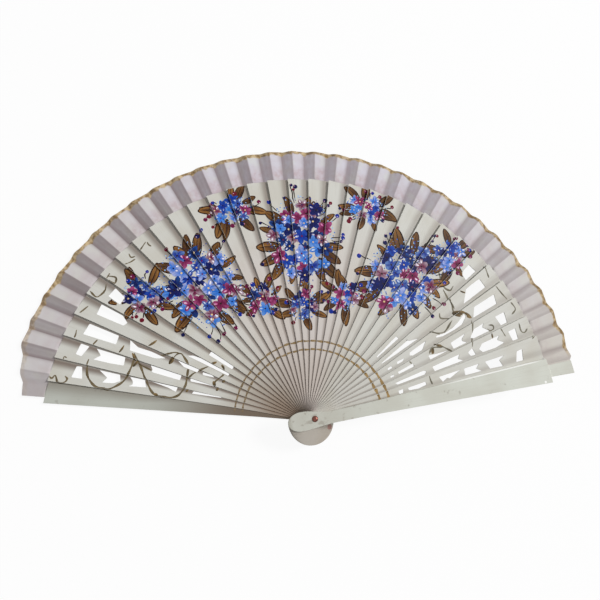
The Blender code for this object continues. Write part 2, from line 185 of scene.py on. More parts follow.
# Painted shade lies in front along the line where the next rib covers this one, for the shadow
# of its raised edge, and round the rivet, most of all on the left, between the sticks.
facing = add_node(tree, "ShaderNodeSeparateXYZ", {0: coords.outputs["Normal"]}).outputs["Z"]
in_front = maths(tree, "MULTIPLY", ease(tree, facing, 0.3, 0.8), ease(tree, spot["Radius"], 16.0, 26.0))
towards_right = ease(tree, spot["Turn"], 1.0, 2.5, 1.0, 0.4)
towards_right = maths(tree, "MULTIPLY", towards_right, ease(tree, spot["Turn"], 0.2, 1.0, 0.88, 0.7))
necks = ease(tree, spot["Radius"], 62.0, 46.0)
right_necks = maths(tree, "MULTIPLY", ease(tree, spot["Turn"], 1.9, 2.5), necks)
towards_right = maths(tree, "ADD", towards_right, maths(tree, "MULTIPLY", right_necks, 0.24))
# Painted shade: a band darkening towards the next rib's edge, eased off right at the edge.
overlap_shade = maths(tree, "MULTIPLY", ease(tree, spot["Strip"], 0.50, 0.84), in_front)
overlap_shade = maths(tree, "MULTIPLY", overlap_shade, ease(tree, spot["Strip"], 0.86, 0.98, 1.0, 0.4))
overlap_shade = maths(tree, "MULTIPLY", overlap_shade, towards_right)
# In the middle the paint has a rosy cast.
off_middle = maths(tree, "ABSOLUTE", maths(tree, "SUBTRACT", spot["Turn"], 1.38))
inner_half = ease(tree, spot["Radius"], 165.0, 100.0, 0.0, 0.35)
rosy = maths(tree, "MULTIPLY", ease(tree, off_middle, 0.75, 0.25), inner_half)
rosy = tint(tree, rosy, coat["Color"], srgb(207, 186, 184))
shade_and_darkening = tint(tree, overlap_shade, rosy, srgb(116, 100, 90))
# Painted shade round the rivet between the sticks, strongest on the left and on the lower heads at the left.
near_rivet = ease(tree, spot["Radius"], 78.0, 12.0)
left_side = ease(tree, spot["Turn"], 0.3, 1.6, 0.86, 0.16)
shaded_sides = maths(tree, "ADD", left_side, ease(tree, spot["Turn"], 3.2, 3.8, 0.0, 0.24))
shaded_round_rivet = tint(tree, maths(tree, "MULTIPLY", near_rivet, shaded_sides), shade_and_darkening, srgb(126, 100, 78))
# Beside the rivet the paint has come off some heads, down to the reddish wood.
flat_place = add_node(
    tree, "ShaderNodeVectorMath", {0: coords.outputs["Object"], 1: (1.0, 1.0, 0.0)}, operation="MULTIPLY",
).outputs[0]
from_chip = add_node(
    tree, "ShaderNodeVectorMath", {0: flat_place, 1: (0.0144, -0.0068, 0.0)}, operation="DISTANCE",
).outputs["Value"]
ragged = maths(tree, "ADD", from_chip, maths(tree, "MULTIPLY", speckle(tree, flat_place, 700.0), 0.003))
worn = tint(tree, ease(tree, ragged, 0.0042, 0.0028, 0.0, 0.8), shaded_round_rivet, srgb(146, 98, 90))
tree.links.new(worn, shader.inputs["Base Color"])
tree.links.new(coat["Roughness"], shader.inputs["Roughness"])
relief = add_node(tree, "ShaderNodeBump", {"Height": coat["Height"], "Strength": 0.25, "Distance": 0.00006})
tree.links.new(relief.outputs[0], shader.inputs["Normal"])
for number in range(1, RIB_COUNT + 1):
    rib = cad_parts[STICKS[number]]
    rib.data.materials.clear()
    rib.data.materials.append(rib_paint)

# Guards: the two outer sticks, of the same painted wood but three times as thick, with their
# long edges rubbed round. They are the first and the last on the rivet.
GUARD_EASE = 0.00035
GUARD_NECK_END, GUARD_SHOULDER = 0.026, 0.184
GUARD_NECK_LEFT, GUARD_SHOULDER_LEFT = 0.0028, 0.0070


def eased_copy(name, node, width):
    """A copy of a packed stick, its loose triangles joined and its sharp edges rounded."""
    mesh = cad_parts[node].data.copy()
    work = bmesh.new()
    work.from_mesh(mesh)
    bmesh.ops.remove_doubles(work, verts=work.verts, dist=1e-6)
    work.to_mesh(mesh)
    work.free()
    mesh.materials.clear()
    piece = bpy.data.objects.new(name, mesh)
    bpy.context.scene.collection.objects.link(piece)
    rounding = piece.modifiers.new("rounded edges", "BEVEL")
    rounding.width = width
    rounding.segments = 3
    rounding.limit_method = "ANGLE"
    rounding.angle_limit = math.radians(40.0)
    return piece


guard_paint, tree, shader, coords = make_material("guard_paint")
shader.inputs["Specular IOR Level"].default_value = 0.3
spot = use_group(tree, fan_place, Place=coords.outputs["Object"]).outputs
coat = use_group(
    tree, old_paint, Place=coords.outputs["Object"], Radius=spot["Radius"], Turn=spot["Turn"],
    Clean=srgb(211, 213, 203), Yellowed=srgb(203, 203, 192),
).outputs
# A few grey scratches and rubbed spots from use, and a little dirt round the rivet.
scuffs = speckle(tree, coords.outputs["Object"], 210.0, 5.0)
most_used = ease(tree, spot["Radius"], 60.0, 15.0, 0.0, 0.07)
scuffs = maths(tree, "ADD", scuffs, most_used)
scuffed = tint(tree, ease(tree, scuffs, 0.63, 0.73, 0.0, 0.45), coat["Color"], srgb(140, 130, 116))
scuffed = tint(tree, ease(tree, spot["Radius"], 80.0, 10.0, 0.0, 0.26), scuffed, srgb(150, 140, 128))
# Painted shade greys the lower guard all over, and darkens it along the line where the first
# rib covers it and towards the rivet.
lower = ease(tree, spot["Height"], 8.0, 5.0)
guard_light_and_wear = tint(tree, maths(tree, "MULTIPLY", lower, 0.5), scuffed, srgb(160, 163, 156))
beside_rib = ease(tree, spot["Strip"], 0.25, 0.95, 0.0, 0.55)
guard_overlap_shade = maths(tree, "MAXIMUM", beside_rib, ease(tree, spot["Radius"], 135.0, 45.0, 0.0, 1.0))
guard_light_and_wear = tint(tree, maths(tree, "MULTIPLY", lower, guard_overlap_shade), guard_light_and_wear, srgb(112, 98, 84))
# A painted highlight runs along the upper guard's inner edge, a chip of paint is off near its
# end, and painted shade darkens the rim of its head.
LAST_AXIS = FIRST_AXIS - (RIB_COUNT + 1) * PITCH
turned = {"Vector": coords.outputs["Object"], "Angle": -LAST_AXIS}
own_place = add_node(tree, "ShaderNodeVectorRotate", turned, rotation_type="Z_AXIS").outputs[0]
own_axes = add_node(tree, "ShaderNodeSeparateXYZ", {0: own_place}).outputs
widening = {0: own_axes[0], 1: GUARD_NECK_END, 2: GUARD_SHOULDER, 3: GUARD_NECK_LEFT, 4: GUARD_SHOULDER_LEFT}
from_edge = maths(tree, "SUBTRACT", add_node(tree, "ShaderNodeMapRange", widening).outputs[0], own_axes[1])
# Painted highlight along the upper guard's inner edge, towards its end.
highlight_and_chip = maths(tree, "MULTIPLY", ease(tree, from_edge, 0.0012, 0.0006), ease(tree, own_axes[0], 0.085, 0.125))
highlight_and_chip = maths(tree, "MULTIPLY", highlight_and_chip, ease(tree, own_axes[0], 0.181, 0.170))
chip = add_node(
    tree, "ShaderNodeVectorMath", {0: own_place, 1: (0.1780, -0.0097, 0.0279)}, operation="DISTANCE",
).outputs["Value"]
highlight_and_chip = maths(tree, "MAXIMUM", highlight_and_chip, ease(tree, chip, 0.0011, 0.0007))
upper = ease(tree, spot["Height"], 24.0, 27.0, 0.0, 0.9)
# Painted shade on the rim of the upper guard's head.
rim = maths(tree, "MULTIPLY", ease(tree, own_axes[0], -0.0148, -0.0187, 0.0, 0.5), upper)
guard_light_and_wear = tint(tree, rim, guard_light_and_wear, srgb(136, 130, 112))
guard_light_and_wear = tint(tree, maths(tree, "MULTIPLY", highlight_and_chip, upper), guard_light_and_wear, srgb(250, 250, 246))
tree.links.new(guard_light_and_wear, shader.inputs["Base Color"])
tree.links.new(coat["Roughness"], shader.inputs["Roughness"])
relief = add_node(tree, "ShaderNodeBump", {"Height": coat["Height"], "Strength": 0.25, "Distance": 0.00006})
tree.links.new(relief.outputs[0], shader.inputs["Normal"])
for node in ("back_guard", "front_guard"):
    guard = eased_copy(f"{node}_stick", node, GUARD_EASE)
    guard.data.materials.append(guard_paint)
    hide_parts(node)
    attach(guard, node)

# Leaf: one strip of thin stiffened cotton, glued over the tongues and pleated once for each
# stick, with a gilt outer edge. It is drawn as one pleat from each stick to the next.
SHOULDER_SLOPE = 0.09
TONGUE_SLOPE = 0.30
RIB_TOP_ON_AXIS = 0.00025
ROOT_START = 0.184
ROOT_LENGTH = 0.001
HEM_RADIUS = 0.18412
CLOTH_START = 0.18508
CLOTH_RADIUS = 0.208
PANEL_HALF = 0.240
TONGUE_HALF = 0.222
LAST_PANEL_LEFT = 0.13
LAST_PANEL_RIGHT = 0.40
CLOTH_ON_TONGUE = 0.000155
FOLD_ROOM = 0.00017
# Heights of the upper faces that the cloth lies on, and of the front guard's that lies on it.
BACK_TONGUE_TOP = 0.0021
FIRST_TONGUE_TOP = 0.0031
STICK_STEP = 0.00075
FRONT_TONGUE_UNDERSIDE = 0.0269
# The hem's height over a root, its depth behind a shoulder, and where a tongue's cloth ends.
HEM_LIFT = 0.00006
HEM_TUCK = 0.00002
HEM_HALF = 0.235
# How far the cut edge is trimmed at the back, at the front and under the front guard.
BACK_TRIM, FRONT_TRIM, TUCKED_TRIM = 0.0095, 0.0020, 0.0026
ALONG_STEPS = 14
HEM_ROWS = 2
PANEL_STEPS = 5
FOLD_STEPS = 16


def stick_level(number):
    """Height of the cloth on a stick's axis, where the cloth lies on the tongue."""
    level = np.where(number < 1, BACK_TONGUE_TOP, FIRST_TONGUE_TOP + STICK_STEP * (number - 1))
    return np.where(number > RIB_COUNT, FRONT_TONGUE_UNDERSIDE - CLOTH_ON_TONGUE, level + CLOTH_ON_TONGUE)


def cloth_edge(place):
    """Radius of the cut edge: a circle, trimmed in towards both ends of the leaf.

    It is cut back once more under the front guard's tongue. The right end of every panel
    stands out by a triangle, and the folds at the left by the sine of their way across.
    """
    back = np.clip(1.0 - (place + PANEL_HALF) / 2.0, 0.0, 1.0)
    front = np.clip(1.0 - (RIB_COUNT + 1 + PANEL_HALF - place) / 3.0, 0.0, 1.0)
    tucked = np.clip((place - RIB_COUNT - 0.72) / 0.2, 0.0, 1.0)
    way = np.clip((place % 1.0 - PANEL_HALF) / (1.0 - 2.0 * PANEL_HALF), 0.0, 1.0)
    slack = np.sin(np.pi * way) * np.clip((14.0 - place) / 8.0, 0.0, 1.0)
    off_crease = np.abs((place + 0.5 - PANEL_HALF) % 1.0 - 0.5)
    standing = np.interp(place, [1.0, 3.0, 23.0, 27.0], [0.0, 0.9, 0.8, 0.45])
    horn = np.clip(1.0 - off_crease / 0.45, 0.0, 1.0) * standing
    outward = 0.001 * (0.9 * slack + horn)
    return CLOTH_RADIUS - BACK_TRIM * back - FRONT_TRIM * front - TUCKED_TRIM * tucked + outward


def pleat(number):
    """One pleat on a grid of (across, along): panel, free fold, next panel.

    A panel lies on its sloping tongue. The free fold is the line that, with the fan shut,
    lies just over the first panel and goes round the edge of the next tongue; opened, it is
    the same heights on a fan-wide place. Radius runs evenly out to the cut edge, after two
    rows for the hem, which climbs the root of a tongue and closes the end of a ridge. A root
    is the higher of two planes, one falling from the shoulder and one rising to the tongue;
    the second row runs down the slanting valley between them.
    """
    last = number == RIB_COUNT
    left, right = PANEL_HALF, 1.0 - (LAST_PANEL_LEFT if last else PANEL_HALF)
    begin = -PANEL_HALF if number == 0 else 0.0
    finish = 1.0 + LAST_PANEL_RIGHT if last else 1.0
    fold = np.linspace(left, right, FOLD_STEPS + 1)
    across = np.concatenate([np.linspace(begin, left, PANEL_STEPS)[:-1], fold,
                             np.linspace(right, finish, PANEL_STEPS)[1:]])
    place, share = np.meshgrid(across, np.linspace(0.0, 1.0, ALONG_STEPS + 1), indexing="ij")
    reach = CLOTH_START + (cloth_edge(number + place) - CLOTH_START) * share
    place = np.concatenate([place[:, :HEM_ROWS], place], axis=1)
    tongue_edges = [-TONGUE_HALF, TONGUE_HALF, 1.0 - TONGUE_HALF, 1.0 + TONGUE_HALF]
    valley = np.interp(across, tongue_edges, [0.2, 0.9, 0.2, 0.9])
    hem_rows = np.stack([np.full_like(across, HEM_RADIUS), ROOT_START + ROOT_LENGTH * valley], axis=1)
    reach = np.concatenate([hem_rows, reach], axis=1)
    turned = FIRST_AXIS - (number + place) * PITCH
    x, y = reach * np.cos(turned), reach * np.sin(turned)

    ends = FIRST_AXIS - (number + np.array([left, right])) * PITCH
    start, end = [HEM_RADIUS * np.array([math.cos(a), math.sin(a)]) for a in ends]
    chord = end - start
    step = np.clip(((x - start[0]) * chord[0] + (y - start[1]) * chord[1]) / (chord @ chord), 0.0, 1.0)
    weight = step * step * (3.0 - 2.0 * step)

    low, high = float(stick_level(number)), float(stick_level(number + 1))
    next_slope = 0.0 if last else TONGUE_SLOPE
    shut = place - weight
    on_first = low - TONGUE_SLOPE * reach * np.sin(shut * PITCH)
    on_next = high - next_slope * reach * np.sin((place - 1.0) * PITCH)
    t = np.clip((place - left) / (right - left), 0.0, 1.0)
    wrap = np.clip((t - 0.80) / 0.20, 0.0, 1.0)
    wrap = wrap * wrap * (3.0 - 2.0 * wrap)
    room = FOLD_ROOM * np.clip(t / 0.12, 0.0, 1.0)
    folded = (on_first + room) * (1.0 - wrap) + on_next * wrap
    height = np.where(place <= left, low - TONGUE_SLOPE * reach * np.sin(place * PITCH),
                      np.where(place >= right, on_next, folded))

    hem_place = place[:, :HEM_ROWS]
    near = np.where(hem_place < 0.5, hem_place, hem_place - 1.0)
    level = np.where(hem_place < 0.5, low, high) - CLOTH_ON_TONGUE
    climb = (hem_rows - ROOT_START) / ROOT_LENGTH
    shoulder_fall = SHOULDER_SLOPE * ROOT_START
    tongue_fall = TONGUE_SLOPE * (ROOT_START + ROOT_LENGTH)
    shoulder = level + RIB_TOP_ON_AXIS - shoulder_fall * np.sin(near * PITCH)
    tongue = level - tongue_fall * np.sin(near * PITCH)
    twist = (tongue_fall - shoulder_fall) * math.sin(TONGUE_HALF * PITCH)
    root = np.maximum(shoulder - (twist + RIB_TOP_ON_AXIS) * climb,
                      tongue - (twist - RIB_TOP_ON_AXIS) * (1.0 - climb))
    beside = np.minimum(height[:, 0], shoulder[:, 0] - HEM_TUCK)
    beside = np.stack([beside, 0.5 * (beside + height[:, HEM_ROWS])], axis=1)
    hem = np.where(np.abs(near) < HEM_HALF, root + HEM_LIFT, beside)
    on_guard = (hem_place > 0.5) & last
    height[:, :HEM_ROWS] = np.where(on_guard, height[:, :HEM_ROWS], hem)
    return np.stack([x, y, height], axis=-1), number + place, reach, t, start, end


def grid_mesh(name, points, maps):
    """A mesh from a grid of points, its quads facing up, with a UV map from a grid of pairs."""
    rows, columns = points.shape[:2]
    index = np.arange(rows * columns).reshape(rows, columns)
    quads = np.stack([index[:-1, :-1], index[:-1, 1:], index[1:, 1:], index[1:, :-1]], axis=-1).reshape(-1, 4)
    mesh = bpy.data.meshes.new(name)
    mesh.from_pydata(points.reshape(-1, 3), [], quads)
    mesh.uv_layers.new(name="cloth").data.foreach_set("uv", maps.reshape(-1, 2)[quads.ravel()].ravel())
    mesh.shade_smooth()
    return mesh


cloth, tree, shader, coords = make_material("cloth")
shader.inputs["Roughness"].default_value = 0.85
shader.inputs["Specular IOR Level"].default_value = 0.25
shader.inputs["Sheen Weight"].default_value = 0.15
measure = add_node(tree, "ShaderNodeSeparateXYZ", {0: coords.outputs["UV"]}).outputs
# The map counts millimetres: along the leaf from its left end, and in from the cut edge.
THREAD_SPACING = 0.32
turns = [maths(tree, "MULTIPLY", measure[axis], 2.0 * math.pi / THREAD_SPACING) for axis in (0, 1)]
threads = [maths(tree, "SINE", turn) for turn in turns]
weave = maths(tree, "MULTIPLY", threads[0], threads[1])
clouds = speckle(tree, coords.outputs["UV"], 0.11, 3.0)
linen = tint(tree, ease(tree, clouds, 0.35, 0.7), srgb(211, 208, 217), srgb(204, 197, 204))
bleached = ease(tree, speckle(tree, coords.outputs["UV"], 0.07), 0.48, 0.66, 0.0, 0.7)
linen = tint(tree, bleached, linen, srgb(213, 214, 212))
thread_shade = ease(tree, weave, -1.0, 1.0, 0.06, 0.0)
linen = tint(tree, thread_shade, linen, srgb(150, 142, 152))
# The cloth has yellowed towards both ends. Painted shade darkens the folds, and glue has tinged
# the cloth where it is stuck to the tongues' roots.
shade_and_wear = add_node(tree, "ShaderNodeAttribute", attribute_name="shade_and_wear").outputs
linen = tint(tree, shade_and_wear["Alpha"], linen, srgb(214, 209, 199))
shade_and_wear = add_node(tree, "ShaderNodeSeparateColor", {0: shade_and_wear["Color"]}).outputs
blotch = ease(tree, speckle(tree, coords.outputs["UV"], 0.28), 0.3, 0.75, 0.25, 0.75)
linen = tint(tree, maths(tree, "MULTIPLY", shade_and_wear[1], blotch), linen, srgb(186, 163, 168))
linen = tint(tree, maths(tree, "MULTIPLY", shade_and_wear[0], 0.8), linen, srgb(114, 95, 97))
# The gilt runs along the cut edge in a wavering band, fading out towards both ends.
wobble = speckle(tree, coords.outputs["UV"], 0.14, 2.0)
gilt_width = maths(tree, "ADD", maths(tree, "MULTIPLY", shade_and_wear[0], 2.0), maths(tree, "MULTIPLY", wobble, 4.2))
inner_line = maths(tree, "SUBTRACT", gilt_width, measure[1])
patchy = ease(tree, speckle(tree, coords.outputs["UV"], 0.4, 2.0), 0.25, 0.5, 0.7, 1.0)
gilt = maths(tree, "MULTIPLY", ease(tree, inner_line, -0.9, 0.5), maths(tree, "MULTIPLY", shade_and_wear[2], patchy))
glints = ease(tree, speckle(tree, coords.outputs["UV"], 0.3, 2.0), 0.35, 0.65)
gold_tone = tint(tree, glints, srgb(142, 116, 78), srgb(204, 182, 144))
tree.links.new(tint(tree, gilt, linen, gold_tone), shader.inputs["Base Color"])
tree.links.new(maths(tree, "MULTIPLY", gilt, 0.2), shader.inputs["Metallic"])
relief = add_node(tree, "ShaderNodeBump", {"Height": weave, "Strength": 0.2, "Distance": 0.00004})
tree.links.new(relief.outputs[0], shader.inputs["Normal"])

leaf_along = 0.0
rng = np.random.default_rng(5)
for number in range(RIB_COUNT + 1):
    points, place, reach, t, start, end = pleat(number)
    steps = np.linalg.norm(np.diff(points[:, HEM_ROWS + ALONG_STEPS // 2], axis=0), axis=1)
    along = leaf_along + np.concatenate([[0.0], np.cumsum(steps)])
    from_edge = cloth_edge(place) - reach
    maps = np.stack([np.broadcast_to(along[:, None], place.shape), from_edge], axis=-1) * 1000.0
    name = f"leaf_pleat_{number:02d}"
    piece = bpy.data.objects.new(name, grid_mesh(name, points, maps))
    bpy.context.scene.collection.objects.link(piece)
    # Painted shade darkens the folds, most at both creases, more broadly so towards the shoulder.
    inward = np.clip(from_edge / (CLOTH_RADIUS - CLOTH_START), 0.0, 1.0)
    breadth = rng.uniform(0.18, 0.30) + rng.uniform(0.0, 0.25) * inward
    crease = np.clip(1.0 - np.abs(np.minimum(t, 1.0 - t) - 0.08) / breadth, 0.0, 1.0)
    crease = crease ** 0.7 * np.where(t < 0.5, 1.0, 0.55)
    free = (t > 0.0) & (t < 1.0)
    fold_shade = np.interp(number, [0, 1, 7, 17], [0.25, 0.52, 0.52, 0.16]) * rng.uniform(0.7, 1.3)
    shade_and_darkening = np.interp(number, [0, 1, 10, 18], [0.5, 1.0, 1.0, 0.65]) * (fold_shade + (1.0 - fold_shade) * crease)
    # Painted shade darkens a panel towards its right crease, and the panels at the left end are darker.
    across = place - number
    to_crease = np.clip((np.where(across < 0.5, across, across - 1.0) - 0.08) / 0.16, 0.0, 1.0)
    left_end_darkening = np.interp(place, [-0.3, 0.3, 0.5, 3.0, 14.0], [0.5, 0.5, 0.14, 0.14, 0.0])
    shade_and_darkening = np.where(free, shade_and_darkening, np.maximum(left_end_darkening, 0.45 * to_crease ** 1.5))
    glued = np.where(free, 0.5, np.clip((inward - 0.5) / 0.25, 0.0, 1.0))
    glued = glued * np.interp(place, [3.0, 11.0, 20.0, 26.0], [0.3, 1.0, 1.0, 0.35])
    aged = np.interp(place, [7.0, 12.0, 21.0, 28.0, RIB_COUNT + 0.3], [0.45, 0.0, 0.0, 0.5, 0.9])
    gilded = np.interp(place, [0.6, 3.8, RIB_COUNT + 0.3, RIB_COUNT + 0.8], [0.15, 1.0, 1.0, 0.0])
    shade_and_wear = np.stack([shade_and_darkening, glued, gilded, aged], axis=-1)
    piece.data.attributes.new("shade_and_wear", "FLOAT_COLOR", "POINT").data.foreach_set("color", shade_and_wear.ravel())
    piece.data.materials.append(cloth)
    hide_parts("leaf")
    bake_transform(piece)
    width = float(along[-1] - along[0])
    leaf_along = along[-1]

# Rivet: a copper-coloured metal pin through all the heads, with a domed head in front that a
# hammer has closed, and a flat foot behind.
RIVET_HEAD = 0.0021
RIVET_SHANK = 0.0015
RIVET_FOOT = 0.0025
RIVET_TOP = 0.0280
RIVET_DOME = 0.00095
RIVET_FOOT_HEIGHT = 0.0006
RIVET_CHAMFER = 0.0002
RIVET_SIDES = 64


def turned_profile(profile, sides):
    """A profile of (radius, height) carried once round the rivet's axis, closed at both ends."""
    turns = np.linspace(0.0, 2.0 * math.pi, sides, endpoint=False)
    rings = np.array(profile)
    x = rings[:, :1] * np.cos(turns)
    y = rings[:, :1] * np.sin(turns)
    z = np.broadcast_to(rings[:, 1:], x.shape)
    points = np.stack([x, y, z], axis=-1).reshape(-1, 3)
    index = np.arange(len(rings) * sides).reshape(len(rings), sides)
    beside = np.roll(index, -1, axis=1)
    quads = np.stack([index[:-1], beside[:-1], beside[1:], index[1:]], axis=-1).reshape(-1, 4)
    ends = [index[0, ::-1].tolist(), index[-1].tolist()]
    return points, quads.tolist() + ends


arc = np.linspace(0.0, 0.5 * math.pi, 12)[:-1]
dome = np.column_stack([RIVET_HEAD * np.cos(arc) ** 0.8, RIVET_TOP + RIVET_DOME * np.sin(arc)])
profile = [(RIVET_FOOT - RIVET_CHAMFER, 0.0), (RIVET_FOOT, RIVET_CHAMFER), (RIVET_FOOT, RIVET_FOOT_HEIGHT),
           (RIVET_SHANK, RIVET_FOOT_HEIGHT), (RIVET_SHANK, RIVET_TOP),
           (RIVET_HEAD - RIVET_CHAMFER, RIVET_TOP)]
profile += dome.tolist()
points, faces = turned_profile(profile, RIVET_SIDES)
mesh = bpy.data.meshes.new("rivet_pin")
mesh.from_pydata(points, [], faces)
mesh.shade_smooth()
rivet = bpy.data.objects.new("rivet_pin", mesh)
bpy.context.scene.collection.objects.link(rivet)
corners = rivet.modifiers.new("crisp corners", "EDGE_SPLIT")
corners.split_angle = math.radians(50.0)
copper, tree, shader, coords = make_material("copper")
shader.inputs["Metallic"].default_value = 1.0
# The copper is coloured a dark brown: tarnish, and a painted dark reflection in its colour.
tarnish = speckle(tree, coords.outputs["Object"], 900.0, 4.0)
tarnish_and_dark_reflection = tint(tree, ease(tree, tarnish, 0.35, 0.7), srgb(126, 82, 72), srgb(76, 46, 42))
tree.links.new(tarnish_and_dark_reflection, shader.inputs["Base Color"])
tree.links.new(ease(tree, tarnish, 0.3, 0.7, 0.25, 0.45), shader.inputs["Roughness"])
rivet.data.materials.append(copper)
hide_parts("rivet")
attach(rivet, "back_guard")

# Brushwork: two gilt lines, gilt scrolls and sprays of small blossoms in body colour, painted by
# hand on the open sticks. Each stroke is a thin skin of paint on the wood, cut where one stick
# ends and the next one covers it, and it moves with its stick.
OWN_EDGE_ROOM = 0.12
TUCKED = 0.4
PAINT_START, PAINT_END = 20.0, 183.8
SMALLEST_AREA = 2e-4
LINE_LIFT, SCROLL_LIFT, SCROLL_LEAF_LIFT, SPRAY_LIFT = 0.020, 0.022, 0.024, 0.026
rng = np.random.default_rng(11)
strokes = []


def pigment(red, green, blue):
    """A paint's colour as seen on a screen, as three linear values."""
    return np.array(srgb(red, green, blue)[:3])


def fan_spot(ticks, radius):
    """Flat places in mm, from ticks counted along the visible left edges and radii in mm."""
    bearing = LEFT_TURN - np.asarray(ticks, float) * PITCH
    return np.stack([radius * np.cos(bearing), radius * np.sin(bearing)], axis=-1)


def smooth_path(corners, step):
    """A curve through corners, each span a cubic that heads along its neighbours, in even steps."""
    padded = np.concatenate([2.0 * corners[:1] - corners[1:2], corners, 2.0 * corners[-1:] - corners[-2:-1]])
    before, first, second, after = [padded[i:len(padded) - 3 + i, None] for i in range(4)]
    s = np.linspace(0.0, 1.0, 12, endpoint=False)[:, None]
    span = 2.0 * first + (second - before) * s + (2.0 * before - 5.0 * first + 4.0 * second - after) * s ** 2
    span = 0.5 * (span + (3.0 * first - before - 3.0 * second + after) * s ** 3)
    line = np.concatenate([span.reshape(-1, 2), corners[-1:]])
    length = np.concatenate([[0.0], np.cumsum(np.linalg.norm(np.diff(line, axis=0), axis=1))])
    even = np.linspace(0.0, length[-1], max(int(length[-1] / step), 4) + 1)
    return np.stack([np.interp(even, length, line[:, axis]) for axis in (0, 1)], axis=-1)


def draw_line(path, width, colour, gilt, lift):
    """A drawn line: a path widened evenly to both sides and thinned at both ends."""
    heading = np.gradient(path, axis=0)
    heading /= np.linalg.norm(heading, axis=1, keepdims=True)
    side = np.stack([-heading[:, 1], heading[:, 0]], axis=-1)
    share = np.linspace(0.0, 1.0, len(path))
    uneven = 1.0 + 0.25 * np.sin(share * len(path) * 0.37 + path[0, 0])
    half = 0.5 * width * uneven * np.clip(0.35 + 6.0 * np.minimum(share, 1.0 - share), 0.35, 1.0)
    across = np.array([-1.0, 0.0, 1.0])
    grid = path[:, None] + side[:, None] * (half[:, None] * across)[..., None]
    shade = 1.0 + 0.16 * np.sin(share * len(path) * 0.21 + path[0, 1])[:, None, None] * np.ones((1, 3, 1))
    tone = np.broadcast_to(colour, grid.shape[:2] + (3,)) * shade
    ink = np.concatenate([tone, np.full(grid.shape[:2] + (1,), gilt)], axis=-1)
    strokes.append((grid[None], ink[None], np.full((1,) + grid.shape[:2], lift)))


def dab(places, aims, lengths, widths, bends, base, tip, lifts, rows=7, columns=5):
    """Brush dabs, each a blunt oval from its place along its aim.

    At share s of its length a dab is as wide as the root of the sine of pi s, and it is bent
    aside by its bend times s squared; its colour runs from base to tip with streaks along it.
    """
    s, v = np.meshgrid(np.linspace(0.0, 1.0, rows), np.linspace(-1.0, 1.0, columns), indexing="ij")
    heading = np.stack([np.cos(aims), np.sin(aims)], axis=-1)[:, None, None]
    side = np.stack([-np.sin(aims), np.cos(aims)], axis=-1)[:, None, None]
    forward = lengths[:, None, None] * s
    swell = np.sqrt(np.sin(np.pi * np.clip(s, 0.015, 0.985)))
    aside = widths[:, None, None] * v * swell + bends[:, None, None] * s ** 2
    grid = places[:, None, None] + heading * forward[..., None] + side * aside[..., None]
    loaded = np.clip(s ** 1.3 + rng.uniform(-0.45, 0.45, (len(places), 1, columns)), 0.0, 1.0)
    mixed = base[:, None, None] + (tip - base)[:, None, None] * loaded[..., None]
    mixed = mixed * rng.uniform(0.8, 1.2, (len(places), rows, columns, 1))
    ink = np.concatenate([np.clip(mixed, 0.0, 1.0), np.zeros(grid.shape[:3] + (1,))], axis=-1)
    dome = 0.006 * (1.0 - v * v) * np.sin(np.pi * s)
    strokes.append((grid, ink, lifts[:, None, None] + dome))


# Gilt lines: two arcs round the fan, drawn stick by stick, so that they don't quite meet.
BRONZE = pigment(129, 112, 89)
GOLD = pigment(147, 121, 79)
for radius, growth in ((48.9, 0.0), (54.5, 1.2)):
    for number in range(RIB_COUNT + 1):
        share = number / RIB_COUNT
        ticks = np.linspace(max(number - 0.1, 0.3), min(number + 1.1, 31.9), 14)
        path = fan_spot(ticks, radius + growth * share + rng.normal(0.0, 0.15))
        width = rng.uniform(1.2, 1.45) + 0.7 * max(share - 0.7, 0.0) / 0.3
        draw_line(path, width, BRONZE + (GOLD - BRONZE) * share, 0.15, LINE_LIFT)

